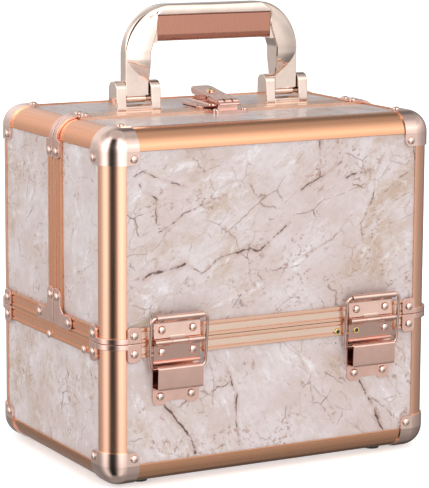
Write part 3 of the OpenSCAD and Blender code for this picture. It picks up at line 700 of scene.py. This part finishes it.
def make_seam_rails():
    for section, look in ((RAIL_SECTION, "rail_"), (STRIP_SECTION, "channel_")):
        bevel = 0.22 if section is RAIL_SECTION else 0
        for axis, run in rim_runs(section, Z_SEAM - RAIL_SPAN, 0).items():
            build("base_rim_rails", run.mirrored(1), bevel, look + axis)
        for half in ("front", "rear"):
            start = split(half) - 0.3  # a little nearer the split than the brackets
            for axis, run in lid_runs(section, start).items():
                build(half + "_seam_rails", run if half == "rear" else run.flipped(1), bevel, look + axis)


# ---------- stamped brackets ----------

def quarter_band(inner, outer, low, high):
    """Band round a corner post: quarter ring in the +X +Y corner between two heights."""
    return Shape().loft([[(IX + r * along, IY + r * across, z)
                          for r, z in ((inner, low), (outer, low), (outer, high), (inner, high))]
                         for along, across in arc((0, 0), 1, 0, 90, 14)])


def seam_bracket(at_seam, away, band_end):
    """Two rounded pads joined by a band round the post, in the +X +Y corner. The pads run from the seam to
    away, and the band from the seam to band_end."""
    face = LEG + PROUD
    shape = quarter_band(LEG, face + STAMPED, min(at_seam, band_end), max(at_seam, band_end))
    pad = rounded([(-11.6, at_seam), (0.6, at_seam), (0.6, away), (-11.6, away)], [1.6, 0, 3.4, 4.2])
    shape.prism([(IX + u, v) for u, v in pad], 1, IY + face, IY + face + STAMPED)
    return shape.prism([(IY + u, v) for u, v in pad], 0, IX + face, IX + face + STAMPED)


def make_seam_brackets():
    band, gap = 4.6, 0.15
    upper = seam_bracket(Z_SEAM + gap, Z_SEAM + 13.2, Z_SEAM + band)
    lower = seam_bracket(Z_SEAM - gap, Z_SEAM - 15.2, Z_SEAM - band)
    build("rear_seam_brackets", upper.mirrored(0), 0.4)
    build("front_seam_brackets", upper.mirrored(0).flipped(1), 0.4)
    build("base_seam_brackets", lower.mirrored(0).mirrored(1), 0.4)


def angle_bracket(start):
    """L-shaped bracket at the foot of the upright seam, with a round lobe at each rivet."""
    corners = [(0, 0.3), (32.5, 0.3), (32.5, 12.3), (17.5, 11.4), (12.3, 16), (12, 30.5), (0, 30.5)]
    outline = rounded([(start + y, Z_SEAM + z) for y, z in corners], [0.6, 4.5, 5.2, 2.6, 3, 5, 2.5])
    return Shape().prism(outline, 0, X_RAIL, X_RAIL + STAMPED)


def top_strap(start):
    """Strap over the rounded top edge beside the upright seam."""
    face, outer = LEG + PROUD, LEG + PROUD + STAMPED
    reach, band = 12, 6.8
    z_high = Z_TOP - LEG
    side = rounded([(start, z_high - 15), (start + reach, z_high - 15), (start + reach, z_high + 1),
                    (start, z_high + 1)], [2, 5, 2.5, 0])
    shape = Shape().prism(side, 0, IX + face, IX + outer)
    top = rounded([(IX - reach, start), (IX + 1, start), (IX + 1, start + reach),
                   (IX - reach, start + reach)], [2, 0, 2.5, 5])
    shape.prism(top, 2, z_high + face, z_high + outer)
    rings = []
    for along, up in arc((0, 0), 1, 0, 90, 14):
        rings.append([(IX + r * along, y, z_high + r * up)
                      for r, y in ((LEG, start), (outer, start), (outer, start + band), (LEG, start + band))])
    return shape.loft(rings)


def make_brackets():
    make_seam_brackets()
    for half, flip in (("front", -1), ("rear", 1)):
        start = split(half)
        for node, one in (("_angle_brackets", angle_bracket(start)), ("_top_straps", top_strap(start))):
            both = one.mirrored(0)
            build(half + node, both if flip > 0 else both.flipped(1), 0.4)


def corner_cap():
    """Three sleeves and a ball over the frame's corner, with a riveted ear on each face."""
    ball, bore, arm, ear = LEG + STAMPED, LEG - 1, 10.5, 10.4
    overlap, steps = 0.4, 10
    z_high = Z_TOP - LEG
    sleeve = arc((0, 0), ball, 0, 90, steps) + arc((0, 0), bore, 90, 0, steps)
    shape = Shape()
    rings = []
    for i in range(steps + 1):
        tilt = math.radians(90 * i / steps)
        spread = math.cos(tilt) if i < steps else 0.02
        rings.append([(IX + spread * u, IY + spread * v, z_high + math.hypot(u, v) * math.sin(tilt))
                      for u, v in sleeve])
    rings.insert(0, [(x, y, z_high - arm) for x, y, _ in rings[0]])
    shape.loft(rings)
    shape.prism([(IY + u, z_high + v) for u, v in sleeve], 0, IX - arm, IX + overlap)
    shape.prism([(IX + u, z_high + v) for u, v in sleeve], 1, IY - arm, IY + overlap)
    pad = rounded([(0.5, 0.5), (-ear, 0.5), (-ear, -ear), (0.5, -ear)], [0, 1.2, 5.4, 1.2])
    sunk = LEG - 1.2
    shape.prism([(IX + u, z_high + v) for u, v in pad], 1, IY + sunk, IY + ball)
    shape.prism([(IY + u, z_high + v) for u, v in pad], 0, IX + sunk, IX + ball)
    shape.prism([(IX + u, IY + v) for u, v in pad], 2, z_high + sunk, z_high + ball)
    return shape


def make_caps():
    cap = corner_cap().mirrored(0)
    build("rear_corner_caps", cap, 0.45, "cap", angle=40)
    build("front_corner_caps", cap.flipped(1), 0.45, "cap", angle=40)
    bottom = box_mm("base_corner_caps")[0][2] + 1.2
    upturned = Shape().add(cap.mirrored(1), shift=(0, 0, Z_TOP + bottom), flip=(1, 1, -1))
    build("base_corner_caps", upturned, 0.45, "cap", angle=40)


# ---------- carry handle ----------

LEG_THICK, BAR_THICK = 5.2, 8.0  # half thickness of the handle's legs and top bar
CORNER_RIDGE, BAR_RIDGE = 9.2, 8.6  # and at the ridge along their inner edge
LENS_SLOPE = 0.186  # rise of the lens-shaped facet on a leg, per millimetre of its width


def handle_ring(middle, inside, outside, thick, ridge, crease, edge):
    """Section of the handle between two outline points (x, z). Its half thickness is thick outside the
    crease and rises to ridge at the inner edge; its outer edge is rounded to radius edge."""
    width = math.dist(inside, outside)
    front = [(0, ridge - 0.8)]
    for share in (0, 0.2, 0.4, 0.6, 0.8, 1):
        bulge = 0.05 * (crease - 0.8) * math.sin(math.pi * share)
        front.append((0.8 + (crease - 0.8) * share, ridge + (thick - ridge) * share + bulge))
    front += [(width - edge + u, thick - edge + w) for u, w in arc((0, 0), edge, 90, 0, 5)]
    points = []
    for u, w in front + [(u, -w) for u, w in front[::-1]]:
        share = u / width
        points.append((inside[0] + (outside[0] - inside[0]) * share, middle + w,
                       inside[1] + (outside[1] - inside[1]) * share))
    return points


def blend(share, start, end):
    return start + (end - start) * min(1, max(0, share))


def handle_rings(middle, inner, outer, top, grip_x, grip_top):
    """Sections from the foot of the right leg, round the corner, to the middle of the top bar."""
    width, turn, foot = outer - inner, 38, Z_TOP + 14
    lens_foot, lens_top = Z_TOP + 24, Z_TOP + 49
    leg_top, leg_edge = top - turn, 0.9
    leg_steps, corner_steps = 20, 16
    rings = []
    for z in [foot + (leg_top - foot) * i / leg_steps for i in range(leg_steps)]:
        flat = width * (1 - min(1, max(0, (z - lens_foot) / (lens_top - lens_foot)))) ** 1.9
        crease = min(width - 1.0, max(1.0, width - flat))
        ridge = LEG_THICK + LENS_SLOPE * crease
        rings.append(handle_ring(middle, (inner, z), (outer, z), LEG_THICK, ridge, crease, leg_edge))
    for i in range(corner_steps + 1):
        share = i / corner_steps
        around = math.radians(90 * share)
        tip = (outer - turn + turn * math.cos(around), leg_top + turn * math.sin(around))
        near = (blend(share / 0.5, inner, grip_x), blend(share * 1.2, leg_top, grip_top))
        edge = leg_edge + 4.3 * math.sin(math.radians(180 * share)) + 1.1 * share
        thick, ridge = blend(share, LEG_THICK, BAR_THICK), blend(share, CORNER_RIDGE, BAR_RIDGE)
        crease = max(1.0, math.dist(near, tip) - edge - 0.1)
        rings.append(handle_ring(middle, near, tip, thick, ridge, crease, edge))
    rings.append(handle_ring(middle, (0, grip_top), (0, top), BAR_THICK, BAR_RIDGE,
                             top - grip_top - 2.1, 2.0))
    return rings


def make_handle():
    low, high = box_mm("handle_frame")
    grip_low, grip_high = box_mm("handle_grip")
    middle = (low[1] + high[1]) / 2
    outer, top = high[0], high[2]
    leg_width, eye = 21.5, 3.3
    half_lug, half_web, half_chip = 8.5, 2.4, 7.6
    inner = outer - leg_width
    z_pivot = joint["handle_hinge"]["pos_m"][2] / MM
    right = handle_rings(middle, inner, outer, top, grip_high[0], grip_high[2])
    left = [[(-x, y, z) for x, y, z in ring] for ring in right[::-1]][1:]
    shape = Shape().loft(right + left)
    count = len(right[0])
    crease_spot = 6
    for ring in range(len(right + left) - 1):
        for spot in (crease_spot, count - 1 - crease_spot):
            shape.creases.append((ring * count + spot, (ring + 1) * count + spot))
    for side in (1, -1):
        centre = side * (outer - leg_width / 2)
        near, far = centre - half_lug, centre + half_lug
        shape.prism(arc((middle, z_pivot), eye, 0, 342, 19), 0, near, far)
        shape.prism([(near, z_pivot), (far, z_pivot), (far, Z_TOP + 15), (near, Z_TOP + 15)], 1,
                    middle - half_web, middle + half_web)
        end, leg = side * (grip_high[0] - 0.3), side * (inner + 0.3)
        foot, roof = grip_low[2] - 2.2, grip_high[2] + 0.3
        shape.prism([(end, foot), (leg, foot), (leg, roof), (end, roof)], 1,
                    middle - half_chip, middle + half_chip)
    build("handle_frame", shape, 0.35, "champagne", angle=38)
    make_grip(middle, grip_high[0] - 0.5, grip_low[2] - 1.2, grip_high[2] - 0.6)


def make_grip(middle, half, foot, roof):
    """Metal grip insert in a slightly larger dark rubber-look shell, painted shade for the gap round it."""
    front = [(-7.6, foot + 5), (-6.2, foot + 1.6), (-3.5, foot), (3.5, foot), (6.2, foot + 1.6),
             (7.6, foot + 5), (7.8, roof), (-7.8, roof)]
    # the second, larger dark shell is painted shade standing for the shade in the gap round the insert
    for grow, look in ((0, "grip"), (0.55, "rubber")):
        outline = rounded([(middle + y * (1 - grow * 0.08), z + grow) for y, z in front],
                          [5, 3, 3, 3, 3, 5, 0, 0])
        build("handle_grip", Shape().prism(outline, 0, -half - grow, half + grow), 0.25, look, angle=38)


def make_handle_brackets():
    """Pairs of round-topped ears on a low base, one at each leg."""
    y = joint["handle_hinge"]["pos_m"][1] / MM
    half, ear_inside, bar_half = 20.25, 11.25, 12
    centre = box_mm("handle_brackets")[1][0] - half
    foot, ear_top = Z_TOP - 1.2, Z_TOP + 25.5
    side = rounded([(-8.5, foot), (8.5, foot), (7.2, ear_top), (-7.2, ear_top)], [0, 0, 6.5, 6.5], 8)
    outline = [(y + u, z) for u, z in side]
    shape = Shape()
    shape.prism(outline, 0, centre + ear_inside, centre + half)
    shape.prism(outline, 0, centre - half, centre - ear_inside)
    lip, floor = Z_TOP + 4.9, Z_TOP + 3.6
    tray = [(8.4, foot), (8.4, lip), (6.6, lip), (6.2, floor)]
    bar = [(y + u, z) for u, z in tray] + [(y - u, z) for u, z in tray[::-1]]
    shape.prism(bar, 0, centre - bar_half, centre + bar_half)
    build("handle_brackets", shape.mirrored(0), 0.9, "champagne", 3, 30)
    refined("handle_pins", 0.3, "champagne")


# ---------- rivets and eyelets ----------

def solids(node):
    """Low corner, high corner and points of each separate solid of a CAD node, in millimetres."""
    work = bmesh.new()
    work.from_mesh(frame["nodes"][node].data)
    bmesh.ops.remove_doubles(work, verts=work.verts, dist=1e-6)
    left, groups = set(work.verts), []
    while left:
        group, front = [], [left.pop()]
        while front:
            vert = front.pop()
            group.append(vert.co / MM)
            near = [edge.other_vert(vert) for edge in vert.link_edges]
            fresh = [v for v in near if v in left]
            left.difference_update(fresh)
            front += fresh
        groups.append(group)
    work.free()
    groups.sort(key=lambda group: tuple(min(group, key=tuple)))
    return [(Vector(map(min, zip(*group))), Vector(map(max, zip(*group))), group) for group in groups]


def turned(profile, centre, axis, sign, steps=20):
    """Solid turned about an axis through centre, from (radius, height) pairs."""
    rings = []
    for radius, height in profile:
        ring = []
        for i in range(steps):
            a = 2 * math.pi * i / steps
            offset = [radius * math.cos(a), radius * math.sin(a)]
            offset.insert(axis, sign * height)
            ring.append(tuple(c + o for c, o in zip(centre, offset)))
        rings.append(ring)
    return Shape().loft(rings)


# domed head as (radius, height), with a thin step under the rim
RIVET = [(3.0, -0.8), (3.0, 0.3)]
RIVET += [(3.35 * math.cos(math.radians(a)), 0.4 + 1.6 * math.sin(math.radians(a)))
          for a in (0, 14, 30, 46, 62, 76, 88)]


def make_studs(node, x, y, z, across, tall):
    """Pair of smaller rivet heads standing up from a plate, at -x and x."""
    studs = Shape()
    for spot in (-x, x):
        studs.add(turned([(r * across, h * tall) for r, h in RIVET], (spot, y, z), 2, 1))
    build(node, studs, 0, "rivet", angle=40)


def make_rivets():
    """Domed heads where the CAD has them, and on the ends of the tray pivots."""
    for node in ("base_rivets", "front_rivets", "rear_rivets"):
        heads = Shape()
        for low, high, points in solids(node):
            axis = min(range(3), key=lambda i: high[i] - low[i])
            at_low = sum(p[axis] < low[axis] + 0.01 for p in points)
            at_high = sum(p[axis] > high[axis] - 0.01 for p in points)
            sign = 1 if at_low > at_high else -1
            centre = (low + high) / 2
            centre[axis] = low[axis] if sign > 0 else high[axis]
            heads.add(turned(RIVET, centre, axis, sign))
        build(node, heads, 0, "rivet", angle=40)
    heads = Shape()
    for low, high, _ in solids("tray_pivot_pins"):
        sign = 1 if high.x > 0 else -1
        heads.add(turned(RIVET, (sign * X_RAIL, (low.y + high.y) / 2, (low.z + high.z) / 2), 0, sign))
    build("tray_pivot_pins", heads, 0, "rivet", angle=40)
    refined("tray_pivot_pins", 0)


def make_eyelets():
    """Brass rings with a dark rubber-look cylinder in each bore, as painted shade."""
    refined("brass_eyelets", 0.25, "brass")
    # dark cylinders in the bores: painted shade
    bores = Shape()
    for low, high, _ in solids("brass_eyelets"):
        centre = ((low.x + high.x) / 2, high.y, (low.z + high.z) / 2)
        bore = (high.x - low.x) / 4
        bores.add(turned([(bore, 0), (bore, high.y - low.y + 0.15)], centre, 1, -1))
    build("brass_eyelets", bores, 0, "rubber")


# ---------- draw latch ----------

LEVER_LEAN = Matrix.Rotation(math.radians(9), 3, "X")


def tab(half, low, high, low_radius, high_radius):
    """Outline of a plate from -half to half, with a corner radius of its own at each end."""
    return rounded([(-half, low), (half, low), (half, high), (-half, high)],
                   [low_radius, low_radius, high_radius, high_radius])


def make_lever():
    """Lever plate leaning back over its pivot, with side skirts and cheeks."""
    half = box_mm("latch_lever")[1][0]
    y_pivot, z_pivot = (joint["latch_lever_hinge"]["pos_m"][i] / MM for i in (1, 2))
    heel = Vector((0, y_pivot - 1.5, z_pivot + 4.2))
    length, thick = 31.5, 1.4
    lever = Shape().prism(tab(half, 0, length, 1, 4.5), 2, 0, thick)
    skirt = rounded([(3, 0.6), (5, -3.4), (length - 3, -4.2), (length - 1, 0.6)], [0, 2, 3, 0])
    lever.add(Shape().prism(skirt, 0, half - 1.3, half - 0.1).mirrored(0))
    lever.points = [LEVER_LEAN @ p + heel for p in lever.points]
    cheek = [(y_pivot + u, z_pivot + v) for u, v in ((-1.5, -2.5), (24, -2.5), (24, 8), (-1.5, 4.4))]
    lever.add(Shape().prism(rounded(cheek, [1.2, 2, 0, 1.2]), 0, 7, 8.1).mirrored(0))
    build("latch_lever", lever, 0.3, "latch")


def make_latch_seat():
    """The CAD base on a plate with upturned sides and two studs."""
    refined("latch_base", 0.3, "latch")
    low, high = box_mm("latch_base")
    front, back, half = low[1] + 1, high[1], 16.9
    foot, lip = Z_TOP + 0.6, Z_TOP + 4.2
    seat = Shape().prism([(half - 1, foot), (half, foot), (half, lip), (half - 1, lip)], 1,
                         front + 7, back).mirrored(0)
    seat.prism(tab(half, front, back, 2.5, 1.5), 2, Z_TOP + 0.9, Z_TOP + 2.2)
    build("latch_base", seat, 0.25, "latch")
    make_studs("latch_base", 14.6, front + 3, Z_TOP + 2.2, 0.72, 0.6)


def make_bail(catch_front):
    """The CAD wire with a hook plate on it that rolls over the catch in three knuckles."""
    refined("latch_bail", 0, "wire")
    wire_low = box_mm("latch_bail")[0][2]
    tail, half, top = -9.6, 9.3, Z_TOP + 10.6
    tip = catch_front + 9.2
    plate = [(tail, top + 0.5), (tip + 1.6, top - 1.3)]
    plate += arc((tip + 1.2, top - 2.9), 1.6, 95, 330, 22)
    sheet = sheet_outline(plate, 1.1)
    hook = Shape()
    for start, end in ((-half, -4.6), (-2.6, 3.0), (4.6, half)):
        hook.prism(sheet, 0, start, end)
    hook.prism(sheet_outline([(tail + 0.2, top + 0.35), (tip + 4.5, top - 1.2)], 1.0), 0, -half, half)
    hook.prism(arc((tip + 1.2, top - 2.9), 0.95, 0, 330, 11), 0, -11, 11)
    arm = rounded([(tail + 1, top + 0.4), (tail + 1, wire_low + 0.4), (tip + 3, wire_low + 0.4),
                   (tip + 0.6, top - 2.2), (tip + 2, top - 1.1)], [1, 1.5, 1.5, 1, 0.6])
    hook.add(Shape().prism(arm, 0, 8.5, 9.4).mirrored(0))
    build("latch_bail", hook, 0.2, "latch")


def make_catch(front, back):
    """Riveted plate with a rolled upright lip that the bail pulls on."""
    floor = Z_TOP + 1.4
    catch = Shape().prism(tab(16.5, front + 1.5, -12.5, 4, 2), 2, Z_TOP - 1.2, floor)
    wall = [(back - 0.8, Z_TOP + 1), (back - 0.8, Z_TOP + 5.6)]
    wall += arc((back - 2.2, Z_TOP + 5.6), 1.4, 0, 200, 12)
    catch.prism(sheet_outline(wall, 1.1), 0, -9, 9)
    build("latch_catch", catch, 0.3, "latch")
    make_studs("latch_catch", 13.2, front + 5.5, floor, 0.8, 0.8)


def make_lock():
    """Brass plug with a key slot, in a plated ring on the lever; the slot is a dark rubber-look block,
    painted shade.
    """
    low, high = box_mm("lock_cylinder")
    centre = Vector(((low[0] + high[0]) / 2, low[1] + 4.4, high[2] - 2.9))
    plug = turned([(2.9, -1.5), (2.9, 0.9), (2.5, 1.4), (0.9, 1.5)], (0, 0, 0), 2, 1)
    ring = turned([(3.9, -1.2), (3.9, 0.5), (3.4, 0.9), (3.0, 0.9)], (0, 0, 0), 2, 1)
    # the key slot is a dark block: painted shade
    slot = Shape().prism([(-0.35, -1.9), (0.35, -1.9), (0.35, 1.9), (-0.35, 1.9)], 2, 1.0, 1.58)
    for part, node, look, bevel in ((plug, "lock_cylinder", "brass", 0.1),
                                    (ring, "latch_lever", "latch", 0.1),
                                    (slot, "lock_cylinder", "rubber", 0)):
        part.points = [LEVER_LEAN @ p + centre for p in part.points]
        build(node, part, bevel, look, angle=40)


def make_latch():
    catch_low, catch_high = box_mm("latch_catch")
    make_lever()
    make_latch_seat()
    make_bail(catch_low[1])
    make_catch(catch_low[1], catch_high[1])
    make_lock()


# ---------- the rest ----------

def paint(node, look):
    """Gives a carried-over CAD node its finished material."""
    mesh = frame["nodes"][node].data
    mesh.materials.clear()
    mesh.materials.append(looks[look])
    mesh.polygons.foreach_set("material_index", [0] * len(mesh.polygons))


def make_plain_parts():
    """CAD parts whose form is already right: finish only, or finish and softened edges."""
    for node in frame["nodes"]:
        paint(node, look_of_slot[slot_of[node]])
    paint("front_panels", "upper_marble")
    paint("base_panels", "lower_marble")
    for half in ("base", "front", "rear"):
        refined(half + "_corner_posts", 0.3, "copper_z")
    for node in ("base_bottom_rails", "front_top_rails", "rear_top_rails"):
        refined(node, 0.25, "copper_x", side_look="copper_y")
    for node in ("lower_tray", "upper_tray"):
        refined(node, 0.6)


place_camera()
light_studio()
make_floor()
make_plain_parts()
make_hinges()
make_seam_rails()
make_brackets()
make_caps()
make_handle()
make_handle_brackets()
make_rivets()
make_eyelets()
make_latch()
